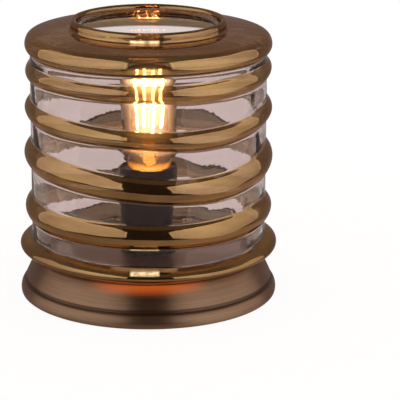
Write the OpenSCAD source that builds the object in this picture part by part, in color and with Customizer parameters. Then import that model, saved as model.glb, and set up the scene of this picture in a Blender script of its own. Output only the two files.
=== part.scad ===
// Bedside lamp: a ringed, mould-blown glass shade that stands loose on a spun metal base,
// with a tubular filament bulb in a screw lampholder inside a plain metal sleeve.
// Millimetres, +Z up. The origin is on the lamp's axis at the surface it stands on.

/* [Glass shade] */
// Outside diameter of the clear wall between the rings
glass_d = 183.6; // [170:0.2:190]
// Thickness of the blown wall
glass_t = 3.2; // [2.2:0.1:4]
// How far the turned-in foot that stands on the base stays inside the wall
foot_inset = 4.8; // [4.4:0.1:6]
// Height of the foot below the flange
glass_foot_h = 2.5; // [1.5:0.1:6]
// Height of the rolled flange
flange_h = 16; // [12:0.2:22]
// How far the flange stands out from the wall
flange_out = 9.5; // [6:0.1:14]
// Clear band between the flange and the first ring
band_1_h = 12.5; // [8:0.1:20]
// Height of the first ring
ring_1_h = 19.9; // [12:0.1:26]
// How far the first ring stands out from the wall
ring_1_out = 5; // [2:0.1:8]
// Clear band above the first ring
band_2_h = 20.6; // [12:0.1:28]
// Height of the second ring
ring_2_h = 21.9; // [12:0.1:28]
// How far the second ring stands out from the wall
ring_2_out = 5.3; // [2:0.1:8]
// Clear band above the second ring
band_3_h = 18.5; // [12:0.1:28]
// Height of the third ring
ring_3_h = 15.4; // [10:0.1:24]
// How far the third ring stands out from the wall
ring_3_out = 4.5; // [2:0.1:8]
// Clear band above the third ring
band_4_h = 18.5; // [12:0.1:28]
// Height of the fourth ring
ring_4_h = 12.8; // [9:0.1:20]
// How far the fourth ring stands out from the wall
ring_4_out = 3.8; // [1.5:0.1:7]
// Clear band between the fourth ring and the shoulder
band_5_h = 7.2; // [5:0.1:12]
// How far the shoulder's edge stands out from the wall
shoulder_out = 5.4; // [2:0.1:8]
// Height of the round under the shoulder's widest edge
shoulder_low_h = 3.4; // [2:0.1:8]
// Height of the sloping top of the shoulder
shoulder_top_h = 9.6; // [6:0.1:18]
// How full the shoulder's curve is: 2 is an ellipse, and more is squarer
shoulder_power = 2.2; // [1.8:0.1:3]
// Outside diameter of the open neck
neck_d = 121.2; // [90:0.2:140]
// Height of the neck above the shoulder
neck_h = 8.8; // [6:0.1:20]
// Thickness of the fire-polished rim
rim_t = 5.5; // [4:0.1:7]

/* [Base shell] */
// How far the base's bead stands out from the wall of the glass
base_out = 8.4; // [7.6:0.1:11]
// Thickness of the spun metal
shell_t = 1.2; // [0.8:0.1:1.6]
// Gap between the bead's rolled lower lip and the table
lip_gap = 0.6; // [0.4:0.1:1.2]
// Height of the bead's round section
bead_h = 12; // [11.4:0.1:14]
// How far the bead's rolled lip turns in
bead_in = 7; // [6:0.1:9]
// Depth of the turned groove above the bead
groove_depth = 1.4; // [0.8:0.1:1.6]
// Width of the groove
groove_w = 1.8; // [1.2:0.1:3]
// How far the slope's foot stays inside the bead's widest edge
slope_inset = 2.8; // [2.4:0.1:4]
// Height of the seat for the glass above the table
seat_z = 31.5; // [30:0.1:40]
// Width of the flat seat outside the foot of the glass
seat_land = 1.5; // [1.2:0.1:3]
// Step that keeps the glass in place
step_h = 2.5; // [1.5:0.1:4]
// Gap round the step, so the glass drops on loosely
step_gap = 1.2; // [0.6:0.1:1.6]
// Radius of the hole for the cord bush in the rear of the bead
cord_hole_r = 4.2; // [4.1:0.05:4.6]
// Bore radius of the cord bush
bush_bore_r = 3.25; // [2.5:0.05:3.4]
// Length of the cord bush behind the wall
bush_len = 7; // [5:0.1:9]

/* [Foot and weight] */
// Thickness of the felt pad
felt_t = 1.6; // [1:0.1:3]
// How far the felt pad stays inside the bottom plate's edge
felt_inset = 1.5; // [1:0.1:6]
// Thickness of the bottom plate
plate_t = 1.2; // [0.8:0.1:2]
// Gap between the bottom plate and the rolled lip round it
plate_gap = 1.7; // [1.5:0.1:4]
// Diameter of the cast weight
weight_d = 132; // [126:0.5:150]
// Height of the cast weight
weight_h = 16; // [14:0.1:18]
// Thickness of the web over the weight's wiring pocket
web_t = 5; // [4:0.1:6]
// Width of the wiring pocket
pocket_w = 34; // [30:0.5:40]
// Width of the cord channel
channel_w = 9; // [8:0.1:12]
// Radius of the circle of plate screws
plate_screw_r = 52; // [40:0.5:60]

/* [Lampholder] */
// Diameter of the metal sleeve
sleeve_d = 42.5; // [42:0.1:48]
// Wall of the sleeve
sleeve_t = 1; // [0.6:0.1:1.2]
// Height of the sleeve
sleeve_h = 73; // [71:0.1:76]
// Radius of the hollow threaded rod
rod_r = 5; // [4.5:0.1:5.5]
// Radius of the rod's bore
rod_bore_r = 3.5; // [3.3:0.05:3.8]
// Width of the hexagon nuts across their flats
nut_af = 14; // [13:0.1:16]
// Thickness of the hexagon nuts
nut_t = 3; // [2:0.1:4]
// Outside radius of the holder's plastic skirt
skirt_r = 19.6; // [19.2:0.05:19.9]
// Wall of the plastic skirt
skirt_t = 1.8; // [1.5:0.05:2]
// Radius of the holder's ceramic body
core_r = 17.6; // [17:0.05:17.7]
// Height of the ceramic body
core_h = 43.5; // [42:0.1:45]

/* [Bulb] */
// Largest diameter of the tubular bulb
bulb_d = 45; // [40:0.1:60]
// Length of the bulb's glass above its metal cap
bulb_glass_l = 87.5; // [75:0.5:100]
// Wall of the bulb's glass
bulb_t = 0.9; // [0.7:0.05:1.2]
// Major radius of the screw cap's thread
thread_r = 13.15; // [13:0.01:13.3]
// Pitch of the thread
thread_pitch = 3.62; // [3.5:0.01:3.7]
// Turns of thread on the cap
thread_turns = 5; // [4:1:5]
// Depth of the rolled thread
thread_depth = 0.95; // [0.8:0.01:1]
// Clearance between the cap and the holder's screw shell
thread_gap = 0.25; // [0.2:0.01:0.3]
// Length of one filament
filament_l = 44; // [30:0.5:50]
// Radius of one filament
filament_r = 1.1; // [0.8:0.05:1.4]
// Number of filaments
filament_count = 4; // [3:1:6]
// Radius of the circle of filaments
filament_ring_r = 9.8; // [7:0.1:14]
// Angle of the first filament round the axis
filament_turn = 20; // [0:1:89]

/* [Wiring] */
// Radius of an insulated wire
wire_r = 0.9; // [0.7:0.05:1]
// Width of the terminal block
block_w = 24; // [23:0.5:26]
// Length of the terminal block
block_l = 15; // [14:0.5:18]
// Height of the terminal block
block_h = 9; // [8:0.1:9.5]
// Distance of the terminal block's front face from the axis
block_y = 26; // [24:0.5:32]
// Distance between neighbouring terminals
terminal_pitch = 7.5; // [7:0.1:7.8]

/* [Hidden] */

$fn = 96;
// Clearance of a part that is laid or screwed against another of its own body
fit = 0.1;
// Sides of a swept wire, and its points for each stretch of its route
wire_sides = 10;
route_steps = 4;
// Gap between bodies that come apart
part_gap = 0.3;

// Heights of the base, from the table up
plate_z = felt_t;
weight_z = plate_z + plate_t;
web_z = weight_z + weight_h - web_t;
weight_top = weight_z + weight_h;
top_z = seat_z + step_h;
top_in_z = top_z - shell_t;
wall_r = glass_d / 2;
foot_r = wall_r - foot_inset;
foot_in_r = foot_r - glass_t;
seat_r = foot_r + seat_land;
step_r = foot_in_r - step_gap;
step_edge = 0.4;
base_r = wall_r + base_out;
bead_mid_z = lip_gap + bead_h / 2;
bead_mid_r = base_r - bead_in;
bead_top_angle = 62;
plate_r = bead_mid_r - plate_gap;
felt_r = plate_r - felt_inset;
groove_z = bead_mid_z + bead_h / 2 * sin(bead_top_angle);
slope_r = base_r - slope_inset;
slope_z = groove_z + groove_w;
slope_edge = 0.3;
seat_edge_drop = 0.9;
seat_edge_w = 0.5;

// Heights of the shade
shade_z = seat_z + part_gap;
flange_z = shade_z + glass_foot_h;
ring_1_z = flange_z + flange_h + band_1_h;
ring_2_z = ring_1_z + ring_1_h + band_2_h;
ring_3_z = ring_2_z + ring_2_h + band_3_h;
ring_4_z = ring_3_z + ring_3_h + band_4_h;
shoulder_z = ring_4_z + ring_4_h + band_5_h;
shoulder_edge_z = shoulder_z + shoulder_low_h;
neck_z = shoulder_edge_z + shoulder_top_h;
rim_z = neck_z + neck_h;
neck_r = neck_d / 2;

// Heights of the lampholder, from the base's top plate up
rod_hole_r = rod_r + 3 * fit;
sleeve_r = sleeve_d / 2;
sleeve_floor_t = 1;
sleeve_edge = 0.4;
upper_nut_z = top_z + sleeve_floor_t;
boss_r = 8;
boss_rise = 2;
boss_h = 6;
cap_z = upper_nut_z + nut_t + boss_rise;
cap_floor_t = 3;
cap_floor_edge = 2;
cap_flange_rise = 6;
cap_flange_z = cap_z + cap_flange_rise;
cap_flange_t = 4;
cap_h = 15;
cap_t = 1.8;
cap_r = skirt_r - skirt_t - fit;
cap_in_r = cap_r - cap_t;
core_z = cap_z + cap_h;
core_floor_t = 12;
core_top = core_z + core_h;
shell_room = 0.95;
core_bore_r = thread_r + thread_gap + shell_room;
skirt_z = cap_flange_z + cap_flange_t;
skirt_lip_t = 2;
skirt_top = core_top + fit + skirt_lip_t;
skirt_edge = 0.8;
skirt_mouth_r = core_bore_r + 2 * fit;
rod_rise = 7;
rod_top = cap_z + rod_rise;
washer_t = 1.2;
washer_r = 10;
tag_t = 0.8;
lower_nut_z = web_z - tag_t - washer_t - nut_t;
rod_end = 1;
rod_bottom = lower_nut_z - rod_end;

// Heights of the bulb, from the tip of its contact up
contact_rise = 4.7;
bulb_z = core_z + core_floor_t + contact_rise + part_gap;
contact_t = 1.2;
contact_r = 4.8;
strip_w = 6;
strip_l = 12;
strip_back = 9;
strip_t = 0.6;
button_t = 0.5;
insulator_h = 3;
cap_flare = 3;
cap_drop = 0.6;
cap_rim_z = bulb_z + contact_t + insulator_h;
thread_rise = 0.8;
thread_z = cap_rim_z + thread_rise;
thread_top = thread_z + thread_turns * thread_pitch;
mouth_h = 0.5;
cap_collar_h = 4.4;
bulb_neck_z = thread_top + cap_collar_h;
sheet_t = 0.35;
bulb_neck_r = thread_r - sheet_t;
bulb_r = bulb_d / 2;
bulb_top = bulb_neck_z + bulb_glass_l;
bulb_taper_h = 25;
stem_flare_h = 8;
stem_r = 5;
stem_h = 29;
stem_tip_r = 2.75;
stem_tip_h = 6;
stem_top = bulb_neck_z + stem_h;
filament_rise = 2.5;
filament_z = stem_top + filament_rise;
filament_top = filament_z + filament_l;
post_r = 0.9;
support_r = 0.35;
support_rise = 1.6;
board_rise = 6;
chip_w = 6;
chip_h = 2.4;
capacitor_x = 6;
capacitor_h = 6;
capacitor_r = 2.4;
pin_r = 0.4;

// Places of the fixings
plate_screw_angles = [30, 150, 270];
plate_screw_len = 9;
screw_head_r = 3.8;
screw_r = 1.9;
sink_slope = (screw_head_r - screw_r) / plate_t;
cord_z = bead_mid_z;
pocket_room = 8;
block_z = web_z - block_h;
terminal_z = block_z + block_h / 2;
terminal_x = [-terminal_pitch, 0, terminal_pitch];
terminal_r = 2.2;
terminal_bore_r = 1.5;
tag_w = 4;
tag_reach = 17;
barrel_l = 5;
barrel_r = 2 * wire_r;
barrel_z = web_z - tag_t - 0.8 * barrel_r;
post_x = 10;
post_w = 5;
post_h = 7;
post_z = core_z - post_h;

// Points along a rounded ring of the blown wall: r, z from its lower to its upper edge
function ring_points(r, z, h, out, steps) =
    [for (i = [0 : steps]) [r + out * pow(sin(180 * i / steps), 0.8), z + h * i / steps]];

// Points along the shoulder's slope, from its widest edge to the neck
function slope_points(edge_r, edge_z, end_r, end_z, steps) =
    [for (i = [0 : steps]) let (a = 90 * i / steps, p = 2 / shoulder_power)
        [end_r + (edge_r - end_r) * pow(cos(a), p), edge_z + (end_z - edge_z) * pow(sin(a), p)]];

// Points along a quarter of an ellipse round c, with half axes a and b
function arc_points(c, a, b, from, to, steps) =
    [for (i = [0 : steps]) let (t = from + (to - from) * i / steps) [c[0] + a * cos(t), c[1] + b * sin(t)]];

function reversed(list) = [for (i = [len(list) - 1 : -1 : 0]) list[i]];

// The side of the blown wall: inset 0 is its outside, and inset glass_t its inside
function wall_points(inset) =
    let (r = wall_r - inset, s = inset * 0.4)
    concat(
        ring_points(r, flange_z + inset, flange_h - 2 * s - inset / 2, flange_out, 12),
        ring_points(r, ring_1_z + s, ring_1_h - 2 * s, ring_1_out, 10),
        ring_points(r, ring_2_z + s, ring_2_h - 2 * s, ring_2_out, 10),
        ring_points(r, ring_3_z + s, ring_3_h - 2 * s, ring_3_out, 10),
        ring_points(r, ring_4_z + s, ring_4_h - 2 * s, ring_4_out, 10),
        arc_points([r, shoulder_edge_z], shoulder_out, shoulder_low_h - s, -90, 0, 4),
        slope_points(r + shoulder_out, shoulder_edge_z,
            neck_r - (inset > 0 ? rim_t : 0), neck_z - inset, 12)
    );

// The spun sheet of the base: inset 0 is its outside, and inset shell_t its inside
function shell_points(inset) =
    concat(
        arc_points([bead_mid_r, bead_mid_z], bead_in - inset, bead_h / 2 - inset, -90, bead_top_angle, 12),
        [
            [slope_r - groove_depth - inset, groove_z],
            [slope_r - groove_depth - inset, slope_z],
            [slope_r - inset, slope_z + slope_edge],
            [seat_r + seat_edge_w - inset, seat_z - seat_edge_drop - inset / 2],
            [seat_r - inset, seat_z - inset],
            [step_r - inset, seat_z - inset],
            [step_r - inset, top_z - step_edge - inset],
            [step_r - step_edge - inset, top_z - inset],
            [rod_hole_r, top_z - inset]
        ]
    );

function unit(v) = v / norm(v);

function tangent(p, i) = unit(p[min(i + 1, len(p) - 1)] - p[max(i - 1, 0)]);

// A direction square to the route at each of its points, carried on from n
function normals(p, i, n) =
    i == len(p) ? [] : let (t = tangent(p, i), m = unit(n - (n * t) * t)) concat([m], normals(p, i + 1, m));

// The point at t between b and c on a smooth curve through a, b, c and d
function between(a, b, c, d, t) =
    b + t * (c - a) / 2 + t * t * (a - 2.5 * b + 2 * c - d / 2) + t * t * t * (3 * b - a - 3 * c + d) / 2;

// A route with steps points for each stretch of p
function smooth_route(p, steps) =
    concat([for (i = [0 : len(p) - 2], k = [0 : steps - 1])
        between(p[max(i - 1, 0)], p[i], p[i + 1], p[min(i + 2, len(p) - 1)], k / steps)], [p[len(p) - 1]]);

// A round wire swept along a route
module wire(p, r, sides) {
    n = normals(p, 0, abs(tangent(p, 0)[2]) < 0.9 ? [0, 0, 1] : [1, 0, 0]);
    last = len(p) - 1;
    skin = [for (i = [0 : last], k = [0 : sides - 1]) let (a = 360 * k / sides)
        p[i] + r * (cos(a) * n[i] + sin(a) * cross(tangent(p, i), n[i]))];
    walls = [for (i = [0 : last - 1], k = [0 : sides - 1])
        let (j = i * sides, m = (k + 1) % sides)
        each [[j + k, j + sides + k, j + sides + m], [j + k, j + sides + m, j + m]]];
    polyhedron(skin, concat([[for (k = [0 : sides - 1]) k]], walls,
        [[for (k = [sides - 1 : -1 : 0]) last * sides + k]]));
}

// A ring between two radii
module ring(r_out, r_in, h) {
    difference() {
        cylinder(h = h, r = r_out);
        translate([0, 0, -1]) cylinder(h = h + 2, r = r_in);
    }
}

module hex_nut() {
    difference() {
        intersection() {
            cylinder(h = nut_t, r = nut_af / sqrt(3), $fn = 6);
            translate([0, 0, -nut_af]) cylinder(h = nut_af + nut_t, r1 = nut_af * 1.6, r2 = nut_af * 0.54);
        }
        translate([0, 0, -1]) cylinder(h = nut_t + 2, r = rod_r + fit / 2);
    }
}

module glass_shade() {
    rim_mid = neck_r - rim_t / 2;
    color([0.62, 0.44, 0.24, 0.6])
        rotate_extrude()
            polygon(concat(
                [[foot_r, shade_z], [foot_r, flange_z]],
                wall_points(0),
                arc_points([rim_mid, rim_z - rim_t / 2], rim_t / 2, rim_t / 2, 0, 180, 10),
                reversed(wall_points(glass_t)),
                [[foot_in_r, flange_z + glass_t], [foot_in_r, shade_z]]
            ));
}

module base_shell() {
    color([0.51, 0.41, 0.31])
        difference() {
            rotate_extrude() polygon(concat(shell_points(0), reversed(shell_points(shell_t))));
            translate([0, 0, cord_z]) rotate([-90, 0, 0]) cylinder(h = 2 * base_r, r = cord_hole_r);
        }
}

module cord_bush() {
    flange_t = 0.9;
    neck_y = base_r - shell_t - bush_len;
    color([0.1, 0.09, 0.08])
        translate([0, neck_y, cord_z]) rotate([-90, 0, 0]) difference() {
            union() {
                cylinder(h = base_r + flange_t - neck_y, r = cord_hole_r - fit);
                translate([0, 0, base_r + fit / 2 - neck_y])
                    cylinder(h = flange_t - fit / 2, r = cord_hole_r + flange_t);
            }
            translate([0, 0, -1]) cylinder(h = base_r, r = bush_bore_r);
        }
}

module felt_pad() {
    color([0.12, 0.11, 0.1]) cylinder(h = felt_t, r = felt_r);
}

module at_plate_screws() {
    for (a = plate_screw_angles)
        rotate([0, 0, a]) translate([plate_screw_r, 0, plate_z]) children();
}

module bottom_plate() {
    color([0.45, 0.45, 0.46])
        difference() {
            translate([0, 0, plate_z]) cylinder(h = plate_t, r = plate_r);
            at_plate_screws() translate([0, 0, -fit])
                cylinder(h = plate_t + 2 * fit, r1 = screw_head_r + fit * (1 + sink_slope),
                    r2 = screw_r + fit * (1 - sink_slope), $fn = 32);
        }
}

module plate_screws() {
    color([0.7, 0.7, 0.72])
        at_plate_screws() difference() {
            union() {
                cylinder(h = plate_t, r1 = screw_head_r, r2 = screw_r, $fn = 32);
                cylinder(h = plate_screw_len, r = screw_r, $fn = 32);
            }
            for (a = [0, 90])
                rotate([0, 0, a]) cube([screw_head_r * 1.1, 0.9, 1.4], center = true);
        }
}

module ballast_weight() {
    pocket_front = -washer_r - pocket_room / 2;
    pocket_end = block_y + block_l + pocket_room;
    color([0.2, 0.2, 0.21])
        difference() {
            translate([0, 0, weight_z]) rotate_extrude()
                polygon([[0, 0], [weight_d / 2 - 1.5, 0], [weight_d / 2, 1.5], [weight_d / 2, weight_h - 3],
                    [weight_d / 2 - 3, weight_h], [0, weight_h]]);
            translate([-pocket_w / 2, pocket_front, weight_z - 1])
                cube([pocket_w, pocket_end - pocket_front, weight_h - web_t + 1]);
            translate([-channel_w / 2, pocket_end - 1, weight_z - 1])
                cube([channel_w, weight_d, cord_z + bush_bore_r + 1 - weight_z + 1]);
            translate([0, 0, weight_z]) cylinder(h = weight_h + 1, r = rod_hole_r);
            at_plate_screws() cylinder(h = plate_screw_len + 2, r = screw_r + fit / 2, $fn = 32);
        }
}

module spacer_tube() {
    color([0.62, 0.63, 0.65]) translate([0, 0, weight_top]) ring(boss_r, rod_hole_r, top_in_z - weight_top);
}

module threaded_rod() {
    chamfer = 0.6;
    color([0.72, 0.62, 0.36])
        rotate_extrude()
            polygon([[rod_bore_r, rod_bottom], [rod_r - chamfer, rod_bottom], [rod_r, rod_bottom + chamfer],
                [rod_r, rod_top - chamfer], [rod_r - chamfer, rod_top], [rod_bore_r, rod_top]]);
}

module clamp_nuts() {
    color([0.72, 0.62, 0.36]) {
        translate([0, 0, upper_nut_z]) hex_nut();
        translate([0, 0, lower_nut_z + nut_t]) mirror([0, 0, 1]) hex_nut();
    }
}

module rod_washer() {
    color([0.7, 0.7, 0.72]) translate([0, 0, web_z - tag_t - washer_t]) ring(washer_r, rod_hole_r, washer_t);
}

module earth_tag() {
    tag_r = washer_r - 1;
    color([0.8, 0.72, 0.45]) {
        translate([0, 0, web_z - tag_t]) {
            ring(tag_r, rod_hole_r, tag_t);
            difference() {
                translate([-tag_w / 2, tag_r - 1, 0]) cube([tag_w, tag_reach - tag_r + 1, tag_t]);
                translate([0, 0, -1]) cylinder(h = tag_t + 2, r = tag_r - 0.5);
            }
        }
        translate([0, tag_reach - barrel_l, barrel_z]) rotate([-90, 0, 0])
            ring(barrel_r, wire_r + fit, barrel_l);
    }
}

module terminal_block() {
    color([0.9, 0.9, 0.86])
        difference() {
            translate([-block_w / 2, block_y, block_z]) cube([block_w, block_l, block_h]);
            for (x = terminal_x) {
                translate([x, block_y - 1, terminal_z])
                    rotate([-90, 0, 0]) cylinder(h = block_l + 2, r = terminal_r + fit, $fn = 32);
                for (k = [0.25, 0.75])
                    translate([x, block_y + block_l * k, block_z - 1])
                        cylinder(h = block_h / 2, r = 1.8, $fn = 32);
            }
            for (k = [-0.5, 0.5])
                translate([k * terminal_pitch, block_y + block_l / 2, block_z - 1])
                    cylinder(h = block_h + 2, r = 0.9, $fn = 32);
        }
}

module block_terminals() {
    color([0.82, 0.7, 0.4])
        for (x = terminal_x)
            translate([x, block_y + 1, terminal_z]) rotate([-90, 0, 0]) difference() {
                cylinder(h = block_l - 2, r = terminal_r, $fn = 32);
                translate([0, 0, -1]) cylinder(h = block_l, r = terminal_bore_r, $fn = 32);
                for (k = [0.25, 0.75])
                    translate([0, 0, block_l * k - 1]) rotate([-90, 0, 0])
                        cylinder(h = terminal_r + 1, r = 1.3, $fn = 32);
            }
}

module block_screws() {
    screw_end = terminal_z - wire_r - fit;
    color([0.7, 0.7, 0.72])
        for (x = terminal_x, k = [0.25, 0.75])
            translate([x, block_y + block_l * k, block_z + 0.4]) difference() {
                cylinder(h = screw_end - block_z - 0.4, r = 1.25, $fn = 32);
                cube([3, 0.5, 1.2], center = true);
            }
}

module earth_wire() {
    color([0.35, 0.62, 0.2])
        wire(smooth_route([
            [0, tag_reach - 0.8 * barrel_l, barrel_z],
            [0, tag_reach + 0.2 * barrel_l, barrel_z],
            [0, block_y - 1.5, terminal_z],
            [0, block_y + block_l * 0.4, terminal_z]
        ], route_steps), wire_r, wire_sides);
}

// The route of a supply wire on side s: block, rod and holder terminal
function supply_route(s) = [
    [s * terminal_pitch, block_y + block_l * 0.4, terminal_z],
    [s * terminal_pitch, block_y - 2, terminal_z],
    [s * 3.6, block_y / 2, rod_bottom - 2.6],
    [s * 1.8, 3, rod_bottom - 1.8],
    [s * 1.7, 0, rod_bottom + 2],
    [s * 1.7, 0, (rod_bottom + rod_top) / 2],
    [s * 1.7, 0, rod_top - 1],
    [s * 2.8, 0, post_z + post_h / 2 - 1],
    [s * (post_x - post_w / 2 - 1), 0, post_z + post_h / 2],
    [s * post_x, 0, post_z + post_h / 2]
];

module live_wire() {
    color([0.38, 0.22, 0.12]) wire(smooth_route(supply_route(1), route_steps), wire_r, wire_sides);
}

module neutral_wire() {
    color([0.15, 0.35, 0.7]) wire(smooth_route(supply_route(-1), route_steps), wire_r, wire_sides);
}

module holder_sleeve() {
    color([0.15, 0.11, 0.08])
        rotate_extrude()
            polygon([[rod_hole_r, top_z], [sleeve_r - sleeve_edge, top_z], [sleeve_r, top_z + sleeve_edge],
                [sleeve_r, top_z + sleeve_h - sleeve_edge], [sleeve_r - sleeve_edge, top_z + sleeve_h],
                [sleeve_r - sleeve_t, top_z + sleeve_h], [sleeve_r - sleeve_t, top_z + sleeve_floor_t],
                [rod_hole_r, top_z + sleeve_floor_t]]);
}

module holder_cap() {
    color([0.13, 0.12, 0.11])
        difference() {
            union() {
                translate([0, 0, cap_z]) ring(cap_r, cap_in_r, cap_h);
                translate([0, 0, cap_z]) cylinder(h = cap_floor_t, r1 = cap_r - cap_floor_edge, r2 = cap_r);
                translate([0, 0, cap_flange_z]) ring(skirt_r, cap_in_r, cap_flange_t);
                translate([0, 0, cap_z - boss_rise]) cylinder(h = boss_h + boss_rise, r = boss_r);
            }
            translate([0, 0, cap_z - 3]) cylinder(h = boss_h + 4, r = rod_r + fit / 2);
        }
}

module holder_core() {
    color([0.93, 0.92, 0.88])
        difference() {
            translate([0, 0, core_z]) cylinder(h = core_h, r = core_r);
            translate([0, 0, core_z + core_floor_t]) cylinder(h = core_h, r = core_bore_r);
        }
}

module holder_skirt() {
    color([0.13, 0.12, 0.11])
        rotate_extrude()
            polygon([[skirt_r - skirt_t, skirt_z], [skirt_r, skirt_z], [skirt_r, skirt_top - skirt_edge],
                [skirt_r - skirt_edge, skirt_top], [skirt_mouth_r, skirt_top],
                [skirt_mouth_r, skirt_top - skirt_lip_t],
                [skirt_r - skirt_t, skirt_top - skirt_lip_t]]);
}

// The rolled thread as even rings: the radius swings by depth once in each pitch
function thread_points(r, z, depth, turns) =
    [for (i = [0 : 8 * turns]) [r - depth / 2 * (1 + cos(45 * i)), z + thread_pitch * i / 8]];

module screw_shell() {
    r = thread_r + thread_gap;
    floor_z = core_z + core_floor_t;
    inner = concat([[r, floor_z + fit]], thread_points(r, thread_z, thread_depth, thread_turns),
        [[r, thread_top + mouth_h]]);
    color([0.82, 0.7, 0.4])
        rotate_extrude()
            polygon(concat(inner, reversed([for (p = inner) [p[0] + sheet_t + 0.15, p[1]]])));
}

module centre_contact() {
    floor_z = core_z + core_floor_t;
    color([0.82, 0.7, 0.4]) {
        translate([-strip_w / 2, -strip_back, floor_z]) cube([strip_w, strip_l, strip_t]);
        translate([0, 0, floor_z + strip_t])
            cylinder(h = contact_rise - strip_t - button_t, r = strip_w * 0.4, $fn = 48);
        translate([0, 0, floor_z + contact_rise - button_t])
            cylinder(h = button_t, r1 = strip_w / 2, r2 = strip_w * 0.4, $fn = 48);
    }
}

module holder_terminals() {
    color([0.82, 0.7, 0.4])
        for (s = [-1, 1])
            translate([s * post_x, 0, post_z]) difference() {
                translate([-post_w / 2, -post_w / 2, 0]) cube([post_w, post_w, post_h]);
                translate([-post_w, 0, post_h / 2]) rotate([0, 90, 0])
                    cylinder(h = 2 * post_w, r = wire_r + fit, $fn = 32);
                translate([0, 0, -1]) cylinder(h = post_h / 2 + 1, r = 1.3, $fn = 32);
            }
}

module terminal_screws() {
    color([0.7, 0.7, 0.72])
        for (s = [-1, 1])
            translate([s * post_x, 0, post_z]) difference() {
                union() {
                    translate([0, 0, -1.2]) cylinder(h = 1.1, r = 2.1, $fn = 32);
                    translate([0, 0, -0.2]) cylinder(h = post_h / 2 - wire_r, r = 1.2, $fn = 32);
                }
                translate([0, 0, -1.2]) cube([5, 0.6, 1], center = true);
            }
}

// The bulb's outline above its cap: inset 0 is its outside, and inset bulb_t its inside
function bulb_points(inset) =
    let (mid_z = bulb_neck_z + bulb_taper_h, dome_z = bulb_top - bulb_r)
    concat(
        [for (i = [0 : 12]) let (t = i / 12)
            [bulb_neck_r - inset + (bulb_r - bulb_neck_r) * (1 - cos(180 * pow(t, 0.75))) / 2,
                bulb_neck_z + bulb_taper_h * t]],
        [for (i = [0 : 14]) let (a = 90 * i / 14)
            [max(0, (bulb_r - inset) * cos(a)), dome_z + (bulb_r - inset) * sin(a)]]
    );

module bulb_glass() {
    color([0.85, 0.6, 0.3, 0.4])
        rotate_extrude() polygon(concat(bulb_points(0), reversed(bulb_points(bulb_t))));
}

module bulb_cap() {
    outer = concat([[contact_r + cap_flare, cap_rim_z - cap_drop], [thread_r - thread_depth, cap_rim_z]],
        thread_points(thread_r, thread_z, thread_depth, thread_turns),
        [[thread_r - 0.3, thread_top + 1], [thread_r - 0.1, bulb_neck_z]]);
    inner = [for (p = outer) [p[0] - sheet_t, p[1] + (p[1] < thread_z ? 0.3 : 0)]];
    color([0.78, 0.72, 0.6]) rotate_extrude() polygon(concat(outer, reversed(inner)));
}

module bulb_insulator() {
    color([0.06, 0.06, 0.07])
        translate([0, 0, bulb_z + contact_t])
            difference() {
                cylinder(h = insulator_h - cap_drop, r1 = contact_r + 0.6, r2 = contact_r + cap_flare);
                translate([0, 0, -1]) cylinder(h = insulator_h + 1, r = 1.2);
            }
}

module bulb_contact() {
    color([0.8, 0.78, 0.7])
        translate([0, 0, bulb_z]) {
            cylinder(h = contact_t * 0.6, r1 = contact_r - 1.5, r2 = contact_r);
            translate([0, 0, contact_t * 0.6]) cylinder(h = contact_t * 0.4, r = contact_r);
            cylinder(h = contact_t + insulator_h - cap_drop, r = 1.1);
        }
}

module bulb_driver() {
    board_r = thread_r - thread_depth - sheet_t - fit;
    board_t = 1;
    board_z = thread_z + board_rise;
    pin_z = cap_rim_z - cap_drop;
    color([0.75, 0.78, 0.7]) translate([0, 0, board_z]) cylinder(h = board_t, r = board_r);
    color([0.1, 0.1, 0.12])
        translate([-chip_w / 2, -chip_w / 2, board_z + board_t]) cube([chip_w, chip_w, chip_h]);
    color([0.2, 0.2, 0.5]) translate([capacitor_x, 0, board_z + board_t])
        cylinder(h = capacitor_h, r = capacitor_r, $fn = 32);
    color([0.8, 0.8, 0.82]) translate([0, 0, pin_z]) cylinder(h = board_z - pin_z, r = pin_r, $fn = 24);
}

module bulb_stem() {
    flare_r = bulb_neck_r - bulb_t - fit;
    color([0.85, 0.88, 0.86, 0.5])
        rotate_extrude()
            polygon(concat(
                [[0, bulb_neck_z + 3], [stem_r - 1.4, bulb_neck_z + 3],
                    [flare_r - 2, bulb_neck_z], [flare_r, bulb_neck_z]],
                [for (i = [0 : 6]) let (a = 90 * i / 6)
                    [stem_r + (flare_r - stem_r) * (1 - sin(a)),
                        bulb_neck_z + 0.6 + stem_flare_h * (1 - cos(a))]],
                [[stem_r, stem_top - stem_tip_h], [stem_tip_r, stem_top], [post_r, stem_top + 0.5],
                    [post_r, filament_top + support_rise], [0, filament_top + support_rise]]
            ));
}

module at_filaments() {
    for (i = [0 : filament_count - 1])
        rotate([0, 0, filament_turn + 360 * i / filament_count]) children();
}

module filament_supports() {
    low_z = filament_z - support_rise;
    high_z = filament_top + support_rise;
    color([0.75, 0.73, 0.7]) {
        at_filaments() {
            wire([[stem_tip_r + support_r + fit, 0, stem_top - 0.6], [filament_ring_r - support_r, 0, low_z],
                [filament_ring_r, 0, low_z + support_r], [filament_ring_r, 0, filament_z]], support_r, 8);
            wire([[post_r + 0.5, 0, high_z], [filament_ring_r - support_r, 0, high_z],
                [filament_ring_r, 0, high_z - support_r], [filament_ring_r, 0, filament_top]], support_r, 8);
        }
        translate([0, 0, high_z - support_r]) ring(post_r + 0.8, post_r + fit / 2, 2.4 * support_r);
    }
}

module bulb_filaments() {
    color([1, 0.85, 0.5])
        at_filaments() translate([filament_ring_r, 0, filament_z])
            cylinder(h = filament_l, r = filament_r, $fn = 32);
}

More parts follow.
